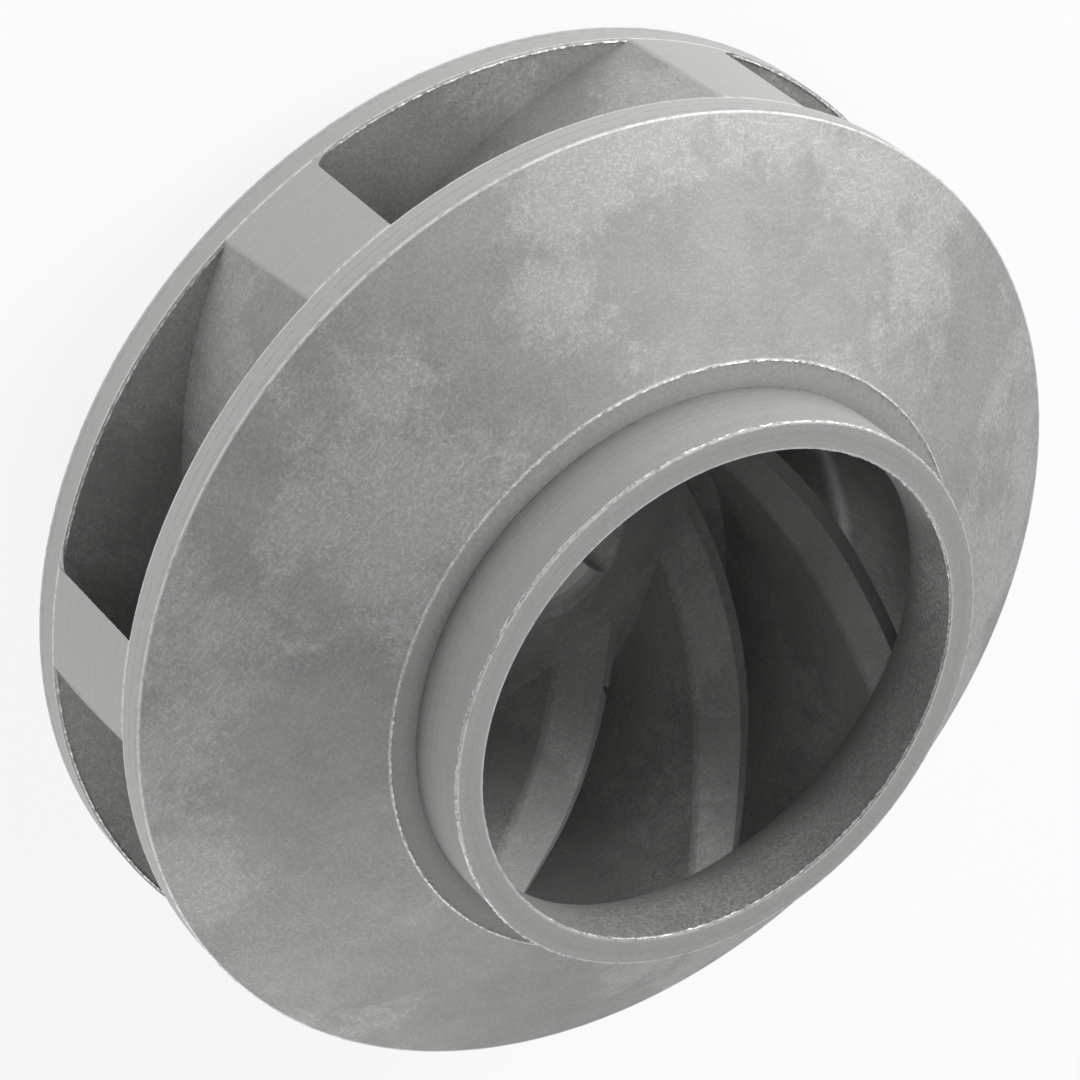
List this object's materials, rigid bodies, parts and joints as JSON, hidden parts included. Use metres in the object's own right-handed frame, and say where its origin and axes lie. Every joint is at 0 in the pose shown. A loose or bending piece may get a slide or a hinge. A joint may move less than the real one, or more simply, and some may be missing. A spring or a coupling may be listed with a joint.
{
  "type": "closed pump impeller",
  "caption": "Closed centrifugal pump impeller cast in one piece, with backward-curved vanes between two shrouds, a turned wear-ring neck round the eye and a keyed shaft bore.",
  "frame": {"origin": "centre of the rear hub face on the shaft axis", "axes": "+Z along the shaft axis towards the eye; +X passes close to the trailing edge of one vane"},
  "size_m": [0.2, 0.2, 0.0888],
  "materials": {
    "casting": "sand-cast and blasted, with turned rims, neck and noses"
  },
  "bodies": {
    "root": {"impeller": "casting"}
  },
  "joints": []
}
